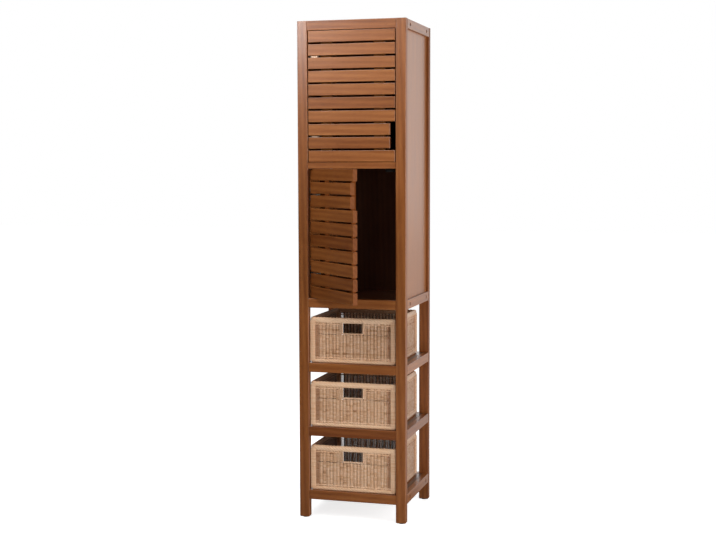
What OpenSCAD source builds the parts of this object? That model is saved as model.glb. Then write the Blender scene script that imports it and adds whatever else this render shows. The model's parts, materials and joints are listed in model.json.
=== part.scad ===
// Bathroom storage tower: a post-and-rail frame with two slatted doors above three open bays,
// each bay holding a woven basket that slides out to the front.
// Millimetres. X runs to the right, Y to the back and Z up; the origin is on the floor, at the
// middle of the four feet.

/* [Overall size] */
// Width over the corner posts
width = 400; // [334:1:480]
// Depth over the corner posts
depth = 385; // [321:1:462]
// Height from the floor to the top
height = 1800; // [1500:5:2160]

/* [Frame] */
// Width of a post, seen from the front
post_w = 37; // [31:1:44]
// Depth of a post, seen from the side
post_d = 25; // [21:1:30]
// Rounding of the posts' upright edges
post_edge = 2; // [0.5:0.5:4]
// Height of every rail
rail_h = 34; // [28:1:41]
// Thickness of the side rails
rail_t = 22; // [18:1:26]
// Rounding of the rails' long edges
rail_edge = 1.5; // [0.5:0.5:3]
// Height of the lowest rail above the floor
leg_h = 69; // [57:1:83]
// Clear height of each open bay
bay_h = 201; // [167:1:241]
// Thickness of the rails' tenons
tenon_t = 8; // [6:0.5:9]
// Length of the rails' tenons
tenon_l = 12; // [10:0.5:14]
// Height of the rails' tenons
tenon_h = 24; // [20:1:28]
// Thickness of the glide under each post
glide_h = 2; // [1.5:0.5:3]
// Diameter of the glide under each post
glide_d = 20; // [16:1:21]

/* [Shelves and panels] */
// Thickness of the boards set into the levels
board_t = 12; // [10:0.5:15]
// Width of the cleats that carry the boards
cleat_w = 25; // [20:1:30]
// Width of the ledge that a board rests on
ledge_w = 10; // [8:0.5:12]
// Thickness of the shelf between the two compartments
mid_t = 22; // [18:1:27]
// Thickness of the side panels
panel_t = 12; // [10:0.5:15]
// Thickness of the back panel
back_t = 6; // [5:0.5:8]
// Depth of the back panel behind the posts' rear faces
back_sink = 10; // [8:1:12]
// Diameter of the pins under the middle shelf
shelf_pin_d = 5; // [4:0.5:6]

/* [Doors] */
// Number of slats in each door
slat_count = 10; // [8:1:12]
// Thickness of a slat
slat_t = 18; // [15:0.5:21.5]
// Open gap between two slats
slat_gap = 6; // [5:0.5:7]
// Rounding of the slats' edges
slat_edge = 2; // [0.5:0.5:3]
// Least gap beside each door
side_reveal = 3; // [2.5:0.5:3.5]
// Gap above and below each door
end_reveal = 1.5; // [1:0.5:2]
// How much the two notched slats are shortened
notch_d = 19; // [16:1:23]
// Width of the battens behind the slats
batten_w = 38; // [32:1:45]
// Thickness of the battens
batten_t = 18; // [15:1:21]
// Gap between the hinge cups' flanges and the battens
batten_gap = 3; // [2:0.5:5]
// How far the lower door stands open
lower_door_open = 45; // [0:1:95]

/* [Hinges] */
// Diameter of the hinge cup
cup_d = 35; // [30:1:42]
// Depth of the hinge cup
cup_depth = 12.5; // [10.5:0.5:14.5]
// Wall of the hinge cup
cup_wall = 1; // [0.8:0.1:1.2]
// Wood left between the cup and the door's edge
cup_edge = 4.5; // [4:0.5:6]
// Diameter of the hinge pin
pin_d = 3; // [2.5:0.25:3.5]
// Width of the hinge arm
arm_w = 12; // [10:1:14]
// Thickness of the hinge arm
arm_t = 2.5; // [2:0.25:3]
// Length of the arm's flat leg on its plate
leg_l = 42; // [36:1:50]
// Thickness of the mounting plate
plate_t = 3; // [2.5:0.25:3.5]

/* [Bolts] */
// Diameter of the frame bolts
bolt_d = 6; // [5:0.5:7]
// Length of the frame bolts under the head
bolt_l = 25; // [21:1:29]
// Diameter of the bolt heads
bolt_head_d = 10; // [8.5:0.5:12]
// Height of the bolt heads
bolt_head_h = 6; // [5:0.5:7]
// Depth of the counterbores for the bolt heads
bolt_sink = 8; // [7:0.5:9]
// Distance of the bolts from the front and back
bolt_inset = 65; // [54:1:78]

/* [Baskets] */
// Gap between a basket and the post on each side
basket_side = 4; // [3.5:0.5:5]
// Depth of the baskets' fronts behind the front plane
basket_set = 8; // [6:1:10]
// Free depth behind the baskets
basket_back = 44; // [37:1:53]
// Free height above the baskets
basket_top = 34; // [28:1:41]
// Thickness of the woven walls
weave_t = 8; // [7:0.5:10]
// Height of the wrapped rim
rim_h = 22; // [18:1:26]
// Width of the wrapped rim
rim_t = 13; // [11:0.5:15.5]
// Height of the border round the base
foot_h = 15; // [12:1:18]
// Width of the handle opening in each basket
grip_w = 72; // [60:1:86]
// Height of the handle opening in each basket
grip_h = 35; // [30:1:42]
// Distance from a basket's top to its handle opening
grip_top = 20.5; // [18:0.5:24]

/* [Hidden] */
$fn = 48;

// Finishes
post_finish = "#8a5230";
rail_finish = "#8f5936";
slat_finish = "#a06b45";
panel_finish = "#a3765c";
inner_finish = "#5b3a26";
wicker = "#c79f7c";
nickel = "#c9c7c2";
steel = "#8f9094";
felt = "#3a3330";

// Sides and doors
LEFT = -1;
RIGHT = 1;
FRONT = -1;
REAR = 1;
UPPER = 1;
LOWER = 0;

// Clearances
mortise_play = 0.2;
board_play = 0.5;
thread_play = 0.05;
bolt_play = 0.15;
pin_play = 0.05;
screw_play = 0.05;
cup_play = 0.15;
arm_clear = 1.3;
swing_clear = 0.8;
eye_clear = 0.5;
tip_clear = 3;
slide_clear = 0.3;
bite = 0.5;

// Levels, by the underside of their rails
bay_pitch = bay_h + rail_h;
bottom_z = leg_h;
lower_z = bottom_z + bay_pitch;
upper_z = lower_z + bay_pitch;
cabinet_z = upper_z + bay_pitch;
top_z = height - rail_h;
levels = [bottom_z, lower_z, upper_z, cabinet_z, top_z];
bolted_levels = [bottom_z, cabinet_z, top_z];

// Plan of the frame
half_w = width / 2;
half_d = depth / 2;
bay_w = width - 2 * post_w;
bay_d = depth - 2 * post_d;
inner_half_w = half_w - rail_t;
cleat_x = inner_half_w - cleat_w;
foot_chamfer = 3;
nail_d = 3;
nail_l = 12;

// Cabinet
cabinet_floor_z = cabinet_z + rail_h;
cabinet_h = top_z - cabinet_floor_z;
opening_h = (cabinet_h - mid_t) / 2;
mid_z = cabinet_floor_z + opening_h;
back_y = half_d - back_sink - back_t;
shelf_pin_l = 8;
shelf_pin_y = half_d - bolt_inset;
shelf_tab = [9, 7, 5];

// Hinge cups and pins: the pin crosses the cup just above its floor, and the gap on the hinge
// side leaves room for the door's edge to swing past the post
eye_wall = 1.5;
eye_r = pin_d / 2 + eye_wall;
cup_inset = cup_edge + cup_d / 2;
pin_depth = slat_t - cup_depth + cup_wall + eye_r + eye_clear;
edge_sweep = sqrt(pow(cup_inset, 2) + pow(max(pin_depth, slat_t - pin_depth), 2));
hinge_reveal = max(side_reveal, edge_sweep - cup_inset + swing_clear);
flange_t = 1.2;
flange_rim = 0.5;
cup_round = 4;

// Doors, drawn shut: door_x is the edge on the hinge side
door_w = bay_w - side_reveal - hinge_reveal;
door_h = opening_h - 2 * end_reveal;
door_x = -bay_w / 2 + hinge_reveal;
slat_h = (door_h - (slat_count - 1) * slat_gap) / slat_count;
slat_pitch = slat_h + slat_gap;
batten_inset = cup_inset + cup_d / 2 + flange_rim + batten_gap;
batten_end = 12;
hinge_gaps = [1, slat_count - 3];
notched_slats = [[slat_count - 3, slat_count - 2], [1, 2]];
screw_d = 4;
screw_bite = 10;
screw_head_d = 8;
screw_head_h = 2.4;
screw_slot_w = 1;
screw_slot_h = 1;

// Hinges
pin = [door_x + cup_inset, -half_d + pin_depth];
pin_end_play = 0.2;
pin_l = cup_d - 2 * pin_end_play;
neck_r = edge_sweep + arm_clear + arm_t / 2;
neck_a = 45;
elbow_r = 4;
wing_w = 12;
wing_r = 5;
wing_end = 6.5;
wing_screw_out = 6;
wing_screw_z = cup_d / 2 + wing_screw_out;
wing_h = 2 * (wing_screw_z + wing_end);
wing_screw_d = 3.5;
wing_head_d = 7;
plate_face_u = -(inner_half_w + door_x) + plate_t;
leg_u = plate_face_u + arm_t / 2;
plate_screw_z = 16;
plate_screw_bite = 9;
plate_short = 4;
plate_rim = 1;
plate_r = 3;
plate_wing_rim = 2;
plate_wing_end = 7;
plate_wing_r = 5;
plate_y = -half_d + pin_depth + neck_r + leg_l / 2;

// Catches
catch_size = [36, 14, 13];
catch_gap = 0.4;
catch_pole = [30, 4, 2];
catch_pole_proud = 1.5;
catch_pole_z = 3.5;
catch_edge = 3;
catch_inset = 24;
catch_x = bay_w / 2 - catch_inset;
strike_size = [30, 1, 10];
strike_lift = 2.5;

// Bolts
bolt_y = half_d - bolt_inset;
counterbore_rim = 2;
counterbore_d = bolt_head_d + 2 * counterbore_rim;
insert_wall = 2;
insert_d = bolt_d + 2 * insert_wall;
insert_l = 15;
bolt_bore = max(insert_l, bolt_l - (rail_t - bolt_sink)) + tip_clear;
key_d = 5.8;
key_depth = 3;

// Baskets
basket_w = bay_w - 2 * basket_side;
basket_d = depth - basket_set - basket_back;
basket_h = bay_h - basket_top;
basket_y = -half_d + basket_set + basket_d / 2;
rim_proud = 2;
foot_proud = 1;
post_r = 10;
inner_r = 0.5;
corner_r = max(rim_t - rim_proud, weave_t) + inner_r;
grip_border = 5;
grip_r = 5;
base_t = 8;
band_round = 1 / 3;
grip_cut = 4 * rim_t;

// --- Outlines and bars ---------------------------------------------------------------------

// A rectangle about the origin with its corners rounded by true arcs.
module rounded_rect(w, h, r) {
    square([w - 2 * r, h], center = true);
    square([w, h - 2 * r], center = true);
    for (x = [-1, 1], y = [-1, 1])
        translate([x * (w / 2 - r), y * (h / 2 - r)]) circle(r);
}

// A bar along X, centred, with its long edges rounded.
module bar_x(length, thick, high, r) {
    rotate([90, 0, 90]) linear_extrude(length, center = true) rounded_rect(thick, high, r);
}

// A bar along Y, centred, with its long edges rounded.
module bar_y(length, thick, high, r) {
    rotate([90, 0, 0]) linear_extrude(length, center = true) rounded_rect(thick, high, r);
}

// A cylinder along X, from the origin towards +X or, with a negative length, towards -X.
module rod_x(d, length) {
    rotate([0, sign(length) * 90, 0]) cylinder(d = d, h = abs(length));
}

// A cylinder along Y, from the origin towards +Y or, with a negative length, towards -Y.
module rod_y(d, length) {
    rotate([-sign(length) * 90, 0, 0]) cylinder(d = d, h = abs(length));
}

// A round cup that goes down from the origin towards -Y, with the edge of its floor rounded.
module bowl(d, depth, r) {
    rotate([90, 0, 0]) rotate_extrude() {
        square([d / 2, depth - r]);
        square([d / 2 - r, depth]);
        translate([d / 2 - r, depth - r]) circle(r);
    }
}

// The part of a flat ring of mean radius r and width t between two angles, up to a right angle.
module arc_strip(r, t, from, to) {
    reach = 2 * r;
    middle = (from + to) / 2;
    intersection() {
        difference() {
            circle(r + t / 2);
            circle(r - t / 2);
        }
        polygon([
            [0, 0],
            reach * [cos(from), sin(from)],
            reach * [cos(middle), sin(middle)],
            reach * [cos(to), sin(to)]
        ]);
    }
}

// --- Posts and rails -----------------------------------------------------------------------

// Tenon sockets of one post, in its own place: one for the side rail and one for the front or
// back rail at each level.
module mortises(side, end) {
    play = 2 * mortise_play;
    for (z = levels) {
        translate([
            side * (half_w - rail_t / 2), end * (half_d - post_d + tenon_l / 2), z + rail_h / 2
        ])
            cube([tenon_t + play, tenon_l + play, tenon_h + play], center = true);
        translate([
            side * (half_w - post_w + tenon_l / 2), end * (half_d - post_d / 2), z + rail_h / 2
        ])
            cube([tenon_l + play, tenon_t + play, tenon_h + play], center = true);
    }
}

// Four bevels round the foot of a post, which stop the wood from splitting when it is dragged.
module foot_bevels() {
    cutter = foot_chamfer * sqrt(2);
    for (turn = [0, 180]) {
        rotate(turn) translate([post_w / 2, 0, 0]) rotate([0, 45, 0])
            cube([cutter, post_d + bite, cutter], center = true);
        rotate(turn) translate([0, post_d / 2, 0]) rotate([45, 0, 0])
            cube([post_w + bite, cutter, cutter], center = true);
    }
}

module post(side, end) {
    color(post_finish) difference() {
        translate([side * (half_w - post_w / 2), end * (half_d - post_d / 2), glide_h])
            difference() {
                linear_extrude(height - glide_h) rounded_rect(post_w, post_d, post_edge);
                foot_bevels();
                cylinder(d = nail_d + 2 * screw_play, h = nail_l + bite);
            }
        mortises(side, end);
    }
}

// A glide is a hard felt disc with a nail that is driven into the post.
module foot_glides() {
    color(felt) for (side = [LEFT, RIGHT], end = [FRONT, REAR])
        translate([side * (half_w - post_w / 2), end * (half_d - post_d / 2), 0]) {
            cylinder(d = glide_d, h = glide_h);
            cylinder(d = nail_d, h = glide_h + nail_l);
        }
}

// A rail between two front or two back posts, flush with them.
module cross_rail(end, z) {
    color(rail_finish) translate([0, end * (half_d - post_d / 2), z + rail_h / 2]) {
        bar_x(bay_w, post_d, rail_h, rail_edge);
        cube([bay_w + 2 * tenon_l, tenon_t, tenon_h], center = true);
    }
}

// A rail between a front and a back post, flush with their outer faces; at the bolted levels it
// has two counterbored holes.
module side_rail(side, z, bolted = false) {
    color(panel_finish) difference() {
        translate([side * (half_w - rail_t / 2), 0, z + rail_h / 2]) {
            bar_y(bay_d, rail_t, rail_h, rail_edge);
            cube([tenon_t, bay_d + 2 * tenon_l, tenon_h], center = true);
        }
        if (bolted) for (y = [-bolt_y, bolt_y])
            translate([side * half_w, y, z + rail_h / 2]) {
                translate([side * bite, 0, 0]) rod_x(counterbore_d, -side * (bolt_sink + bite));
                translate([side * bite, 0, 0])
                    rod_x(bolt_d + 2 * bolt_play, -side * (rail_t + 2 * bite));
            }
    }
}

// --- Boards, panels and what they rest on ----------------------------------------------------

// Cross-section of a cleat against the right-hand side rail, with the ledge for the board.
module cleat_profile() {
    polygon([
        [0, 0], [cleat_w, 0], [cleat_w, rail_h], [ledge_w, rail_h],
        [ledge_w, rail_h - board_t], [0, rail_h - board_t]
    ]);
}

module end_cleats() {
    color(inner_finish) for (side = [LEFT, RIGHT], z = levels)
        difference() {
            scale([side, 1, 1]) translate([cleat_x, 0, z]) rotate([90, 0, 0])
                linear_extrude(bay_d, center = true) cleat_profile();
            if (len(search(z, bolted_levels)) > 0) for (y = [-bolt_y, bolt_y])
                translate([side * (inner_half_w + bite), y, z + rail_h / 2]) {
                    rod_x(insert_d + 2 * thread_play, -side * (insert_l + thread_play + bite));
                    rod_x(bolt_d + 2 * bolt_play, -side * (bolt_bore + bite));
                }
        }
}

module board(z) {
    color(inner_finish)
        translate([-cleat_x - ledge_w + board_play, -bay_d / 2 + board_play, z + rail_h - board_t])
            cube([2 * (cleat_x + ledge_w - board_play), bay_d - 2 * board_play, board_t]);
}

// The shelf between the compartments is cut round the posts, so its front edge shows between
// the two doors and its back edge meets the back panel.
module middle_shelf() {
    color(rail_finish) translate([0, 0, mid_z]) difference() {
        translate([-inner_half_w + board_play, -half_d, 0])
            cube([2 * (inner_half_w - board_play), half_d + back_y - board_play, mid_t]);
        for (side = [LEFT, RIGHT], end = [FRONT, REAR])
            translate([
                side * (half_w - post_w / 2), end * (half_d - post_d / 2), mid_t / 2
            ])
                cube([post_w + 2 * board_play, post_d + 2 * board_play, mid_t + bite], center = true);
    }
}

module shelf_pins() {
    color(steel) for (side = [LEFT, RIGHT], y = [-shelf_pin_y, shelf_pin_y])
        translate([side * inner_half_w, y, mid_z]) {
            translate([0, 0, -shelf_tab[2] / 2]) rod_x(shelf_pin_d, side * shelf_pin_l);
            translate([-side * shelf_tab[0] / 2, 0, -shelf_tab[2] / 2]) cube(shelf_tab, center = true);
        }
}

module side_panel(side) {
    color(panel_finish) difference() {
        translate([
            side * (inner_half_w + panel_t / 2), 0, cabinet_floor_z + cabinet_h / 2
        ])
            cube([panel_t, bay_d, cabinet_h], center = true);
        for (y = [-shelf_pin_y, shelf_pin_y])
            translate([side * (inner_half_w - bite), y, mid_z - shelf_tab[2] / 2])
                rod_x(shelf_pin_d + 2 * pin_play, side * (shelf_pin_l + bite + pin_play));
        if (side == LEFT) for (z = hinge_heights(), s = [-1, 1])
            translate([-inner_half_w + bite, plate_y, z + s * plate_screw_z])
                rod_x(screw_d + 2 * screw_play, -(plate_screw_bite + bite + screw_play));
    }
}

module back_panel() {
    color(inner_finish) translate([-bay_w / 2, back_y, cabinet_floor_z])
        cube([bay_w, back_t, cabinet_h]);
}

// --- Bolts -----------------------------------------------------------------------------------

// Places its children at each bolt, with +X pointing out of the rail.
module at_bolts() {
    for (side = [LEFT, RIGHT], z = bolted_levels, y = [-bolt_y, bolt_y])
        translate([side * half_w, y, z + rail_h / 2]) rotate(side == RIGHT ? 0 : 180) children();
}

module frame_bolts() {
    color(nickel) at_bolts() translate([-bolt_sink, 0, 0]) difference() {
        union() {
            rod_x(bolt_head_d, bolt_head_h);
            rod_x(bolt_d, -bolt_l);
        }
        translate([bolt_head_h - key_depth, 0, 0]) rotate([0, 90, 0])
            cylinder(d = key_d, h = key_depth + bite, $fn = 6);
    }
}

module insert_nuts() {
    color(steel) at_bolts() translate([-rail_t, 0, 0]) difference() {
        rod_x(insert_d, -insert_l);
        translate([bite, 0, 0]) rod_x(bolt_d + 2 * thread_play, -(insert_l + 2 * bite));
    }
}

// --- Doors -------------------------------------------------------------------------------------

function door_z(door) = (door == UPPER ? mid_z + mid_t : cabinet_floor_z) + end_reveal;
function slat_z(door, i) = door_z(door) + i * slat_pitch + slat_h / 2;
function gap_z(door, i) = slat_z(door, i) + slat_pitch / 2;
function hinge_heights() = [for (door = [LOWER, UPPER], i = hinge_gaps) gap_z(door, i)];
function is_notched(door, i) = len(search(i, notched_slats[door])) > 0;

// Swings its children, drawn as on a shut door, to where the door stands at rest.
module on_door(door) {
    turn = door == LOWER ? -lower_door_open : 0;
    translate([pin[0], pin[1], 0]) rotate(turn) translate([-pin[0], -pin[1], 0]) children();
}

// Pocket bored from behind for one hinge cup, half in each of two slats.
module cup_pockets(door) {
    for (i = hinge_gaps) {
        translate([pin[0], -half_d + slat_t + bite, gap_z(door, i)])
            rod_y(cup_d + 2 * cup_play, -(cup_depth + cup_play + bite));
        for (s = [-1, 1])
            translate([pin[0], -half_d + slat_t + bite, gap_z(door, i) + s * wing_screw_z])
                rod_y(wing_screw_d + 2 * screw_play, -(screw_bite + bite + screw_play));
    }
}

// Places its children where a slat and a batten cross, on the slat's back face.
module at_crossings(door, slats, battens = [0, 1]) {
    for (i = slats, b = battens)
        translate([batten_x(b), -half_d + slat_t, slat_z(door, i)]) children();
}

function batten_x(b) = (b == 0 ? 1 : -1) * (door_x + batten_inset + batten_w / 2);

module slat(door, i) {
    length = door_w - (is_notched(door, i) ? notch_d : 0);
    difference() {
        translate([door_x + length / 2, -half_d + slat_t / 2, slat_z(door, i)])
            intersection() {
                bar_x(length, slat_t, slat_h, slat_edge);
                linear_extrude(slat_h + bite, center = true)
                    rounded_rect(length, slat_t, slat_edge);
            }
        cup_pockets(door);
        at_crossings(door, [i]) translate([0, bite, 0])
            rod_y(screw_d + 2 * screw_play, -(screw_bite + bite + screw_play));
    }
}

module full_slats(door) {
    color(slat_finish) on_door(door) for (i = [0 : slat_count - 1])
        if (!is_notched(door, i)) slat(door, i);
}

module short_slats(door) {
    color(slat_finish) on_door(door) for (i = notched_slats[door]) slat(door, i);
}

module batten(door, b) {
    color(slat_finish) on_door(door) difference() {
        translate([
            batten_x(b), -half_d + slat_t + batten_t / 2, door_z(door) + door_h / 2
        ])
            linear_extrude(door_h - 2 * batten_end, center = true)
                rounded_rect(batten_w, batten_t, rail_edge);
        at_crossings(door, [0 : slat_count - 1], [b]) {
            translate([0, -bite, 0]) rod_y(screw_d + 2 * screw_play, batten_t + 2 * bite);
            translate([0, batten_t + screw_play, 0])
                rod_y(screw_head_d + 2 * screw_play, -(screw_head_h + screw_play));
        }
    }
}

// A cheese-head wood screw along -Y: the underside of its head is at the origin.
module wood_screw(d, head_d, head_h, length) {
    difference() {
        union() {
            rod_y(d, -length);
            rod_y(head_d, head_h);
        }
        translate([0, head_h - screw_slot_h / 2 + bite / 2, 0])
            cube([head_d + bite, screw_slot_h + bite, screw_slot_w], center = true);
    }
}

module door_screws(door) {
    color(steel) on_door(door) {
        at_crossings(door, [0 : slat_count - 1])
            translate([0, batten_t - screw_head_h, 0])
                wood_screw(screw_d, screw_head_d, screw_head_h, batten_t - screw_head_h + screw_bite);
        for (i = hinge_gaps, s = [-1, 1])
            translate([pin[0], -half_d + slat_t + flange_t, gap_z(door, i) + s * wing_screw_z])
                wood_screw(wing_screw_d, wing_head_d, flange_t, flange_t + screw_bite);
    }
}

// --- Hinges --------------------------------------------------------------------------------------

// A pressed cup with a winged flange: the cup fills the pocket across the gap between two
// slats, and the wings are screwed to their backs.
module hinge_cups(door) {
    color(nickel) on_door(door) for (i = hinge_gaps)
        translate([pin[0], -half_d + slat_t, gap_z(door, i)]) difference() {
            union() {
                bowl(cup_d, cup_depth, cup_round);
                rod_y(cup_d + 2 * flange_rim, flange_t);
                rotate([-90, 0, 0]) linear_extrude(flange_t)
                    rounded_rect(wing_w, wing_h, wing_r);
            }
            translate([0, flange_t + bite, 0])
                bowl(
                    cup_d - 2 * cup_wall, cup_depth + flange_t + bite - cup_wall,
                    cup_round - cup_wall
                );
            translate([0, pin_depth - slat_t, 0])
                cylinder(d = pin_d + 2 * pin_play, h = cup_d + bite, center = true);
            for (s = [-1, 1]) translate([0, flange_t + bite, s * wing_screw_z])
                rod_y(wing_screw_d + 4 * screw_play, -(flange_t + 2 * bite));
        }
}

// Side view of a cranked arm about its pin: the eye, the neck that leaves the cup, the bend
// that runs round the sweep of the door's edge, and the leg that lies on the plate.
module arm_profile() {
    elbow_x = leg_u - cup_inset + elbow_r;
    difference() {
        union() {
            circle(eye_r);
            rotate(neck_a) translate([0, -arm_t / 2]) square([neck_r, arm_t]);
            arc_strip(neck_r, arm_t, neck_a, 90);
            translate([elbow_x, neck_r - arm_t / 2]) square([-elbow_x, arm_t]);
            translate([elbow_x, neck_r + elbow_r]) arc_strip(elbow_r, arm_t, 180, 270);
            translate([elbow_x - elbow_r - arm_t / 2, neck_r + elbow_r])
                square([arm_t, leg_l - elbow_r]);
        }
        circle(pin_d / 2 + pin_play);
    }
}

// Places its children at each hinge, with the origin on the pin's axis.
module at_hinges() {
    for (z = hinge_heights()) translate([pin[0], pin[1], z]) children();
}

module hinge_arms() {
    color(nickel) at_hinges() difference() {
        linear_extrude(arm_w, center = true) arm_profile();
        translate([leg_u - cup_inset - arm_t, neck_r + leg_l / 2, 0])
            rod_x(screw_d + 2 * screw_play, 2 * arm_t);
    }
}

module hinge_pins() {
    color(steel) at_hinges() cylinder(d = pin_d, h = pin_l, center = true);
}

module hinge_plates() {
    plate_w = arm_w + 2 * plate_rim;
    color(nickel) at_hinges()
        translate([leg_u - arm_t / 2 - cup_inset - plate_t, neck_r + leg_l / 2, 0]) difference() {
            rotate([90, 0, 90]) linear_extrude(plate_t) {
                rounded_rect(leg_l - plate_short, plate_w, plate_r);
                rounded_rect(
                    plate_w + plate_wing_rim, 2 * (plate_screw_z + plate_wing_end), plate_wing_r
                );
            }
            for (s = [-1, 0, 1]) translate([-bite, 0, s * plate_screw_z])
                rod_x(screw_d + 2 * screw_play, plate_t + 2 * bite);
        }
}

// Two wood screws hold each plate to the side panel, and a third holds the arm to the plate.
module hinge_screws() {
    color(steel) at_hinges() translate([leg_u - arm_t / 2 - cup_inset, neck_r + leg_l / 2, 0])
        rotate(-90) {
            for (s = [-1, 1]) translate([0, 0, s * plate_screw_z])
                wood_screw(screw_d, screw_head_d, screw_head_h, plate_t + plate_screw_bite);
            translate([0, arm_t, 0])
                wood_screw(screw_d, screw_head_d, screw_head_h, arm_t + plate_t);
        }
}

// --- Catches -------------------------------------------------------------------------------------

module magnet_catches() {
    front_y = -half_d + slat_t + strike_size[1] + catch_gap;
    for (door = [LOWER, UPPER]) {
        z = door == UPPER ? mid_z + mid_t + catch_size[2] / 2 : mid_z - catch_size[2] / 2;
        color(steel) translate([catch_x, front_y, z]) {
            translate([0, (catch_size[1] + catch_pole_proud) / 2, 0])
                linear_extrude(catch_size[2], center = true)
                    rounded_rect(catch_size[0], catch_size[1] - catch_pole_proud, catch_edge);
            for (s = [-1, 1]) translate([0, catch_pole[1] / 2, s * catch_pole_z])
                cube(catch_pole, center = true);
        }
    }
}

module strike_plate(door) {
    z = door == UPPER
        ? door_z(door) + strike_lift + strike_size[2] / 2
        : door_z(door) + door_h - strike_lift - strike_size[2] / 2;
    color(nickel) on_door(door)
        translate([catch_x, -half_d + slat_t + strike_size[1] / 2, z])
            cube(strike_size, center = true);
}

// --- Baskets -------------------------------------------------------------------------------------

// A closed band that runs round a basket, with a rounded section w wide and h high. Its outer
// faces are `proud` outside the woven walls.
module band(w, h, proud, z) {
    r = corner_r + proud - w / 2;
    x = basket_w / 2 - rim_proud - corner_r;
    y = basket_d / 2 - rim_proud - corner_r;
    soft = min(w, h) * band_round;
    translate([0, 0, z + h / 2]) {
        for (s = [-1, 1]) {
            translate([s * (x + r), 0, 0]) bar_y(2 * y, w, h, soft);
            translate([0, s * (y + r), 0]) bar_x(2 * x, w, h, soft);
        }
        for (turn = [0 : 90 : 270]) {
            c = (turn == 0 || turn == 180) ? [x, y] : [y, x];
            rotate(turn) translate([c[0], c[1], 0]) rotate_extrude(angle = 90)
                translate([r, 0]) rounded_rect(w, h, soft);
        }
    }
}

// Places its children in the middle of the handle opening, upright and facing the front.
module at_grip(y) {
    translate([0, -y, basket_h - grip_top - grip_h / 2]) rotate([90, 0, 0]) children();
}

// A basket: woven walls on a frame of corner posts, with a wrapped rim, a border round the base
// and a handle opening in the front that has a wrapped border of its own.
module basket(z) {
    wall_w = basket_w - 2 * rim_proud;
    wall_d = basket_d - 2 * rim_proud;
    color(wicker) translate([0, basket_y, z + rail_h + slide_clear]) difference() {
        union() {
            difference() {
                linear_extrude(basket_h - rim_h / 2) rounded_rect(wall_w, wall_d, corner_r);
                translate([0, 0, base_t]) linear_extrude(basket_h)
                    rounded_rect(wall_w - 2 * weave_t, wall_d - 2 * weave_t, corner_r - weave_t);
            }
            for (sx = [-1, 1], sy = [-1, 1])
                translate([
                    sx * (wall_w / 2 - post_r + foot_proud), sy * (wall_d / 2 - post_r + foot_proud), 0
                ])
                    cylinder(r = post_r, h = basket_h - rim_h / 2);
            band(rim_t, rim_h, rim_proud, basket_h - rim_h);
            band(weave_t + foot_proud, foot_h, foot_proud, 0);
            at_grip((wall_d - weave_t) / 2)
                linear_extrude(weave_t + 2 * foot_proud, center = true) rounded_rect(
                    grip_w + 2 * grip_border, grip_h + 2 * grip_border, grip_r + grip_border
                );
        }
        at_grip(basket_d / 2)
            linear_extrude(grip_cut, center = true) rounded_rect(grip_w, grip_h, grip_r);
    }
}

// --- Every piece by name -------------------------------------------------------------------------

post(LEFT, FRONT);  // post_front_left
post(RIGHT, FRONT);  // post_front_right
post(LEFT, REAR);  // post_rear_left
post(RIGHT, REAR);  // post_rear_right
foot_glides();
side_rail(LEFT, top_z, bolted = true);  // left_top_rail
side_rail(LEFT, cabinet_z, bolted = true);  // left_cabinet_rail
side_rail(LEFT, upper_z);  // left_upper_shelf_rail
side_rail(LEFT, lower_z);  // left_lower_shelf_rail
side_rail(LEFT, bottom_z, bolted = true);  // left_bottom_rail
side_rail(RIGHT, top_z, bolted = true);  // right_top_rail
side_rail(RIGHT, cabinet_z, bolted = true);  // right_cabinet_rail
side_rail(RIGHT, upper_z);  // right_upper_shelf_rail
side_rail(RIGHT, lower_z);  // right_lower_shelf_rail
side_rail(RIGHT, bottom_z, bolted = true);  // right_bottom_rail
cross_rail(FRONT, top_z);  // front_top_rail
cross_rail(FRONT, cabinet_z);  // front_cabinet_rail
cross_rail(FRONT, upper_z);  // front_upper_shelf_rail
cross_rail(FRONT, lower_z);  // front_lower_shelf_rail
cross_rail(FRONT, bottom_z);  // front_bottom_rail
cross_rail(REAR, top_z);  // back_top_rail
cross_rail(REAR, cabinet_z);  // back_cabinet_rail
cross_rail(REAR, upper_z);  // back_upper_shelf_rail
cross_rail(REAR, lower_z);  // back_lower_shelf_rail
cross_rail(REAR, bottom_z);  // back_bottom_rail
end_cleats();
board(top_z);  // top_board
board(cabinet_z);  // cabinet_floor
board(upper_z);  // upper_shelf_board
board(lower_z);  // lower_shelf_board
board(bottom_z);  // bottom_shelf_board
middle_shelf();
shelf_pins();
side_panel(LEFT);  // side_panel_left
side_panel(RIGHT);  // side_panel_right
back_panel();
frame_bolts();
insert_nuts();
hinge_plates();
hinge_arms();
hinge_pins();
hinge_screws();
magnet_catches();
full_slats(UPPER);  // upper_door_slats
short_slats(UPPER);  // upper_door_short_slats
batten(UPPER, 0);  // upper_batten_hinge_side
batten(UPPER, 1);  // upper_batten_free_side
hinge_cups(UPPER);  // upper_hinge_cups
door_screws(UPPER);  // upper_door_screws
strike_plate(UPPER);  // upper_strike_plate
full_slats(LOWER);  // lower_door_slats
short_slats(LOWER);  // lower_door_short_slats
batten(LOWER, 0);  // lower_batten_hinge_side
batten(LOWER, 1);  // lower_batten_free_side
hinge_cups(LOWER);  // lower_hinge_cups
door_screws(LOWER);  // lower_door_screws
strike_plate(LOWER);  // lower_strike_plate
basket(upper_z);  // basket_upper
basket(lower_z);  // basket_middle
basket(bottom_z);  // basket_lower
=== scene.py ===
"""Finishes a bathroom storage tower: its wood, its metal fittings, its woven baskets and the studio
round it."""

import json
import math
from contextlib import contextmanager

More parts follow.
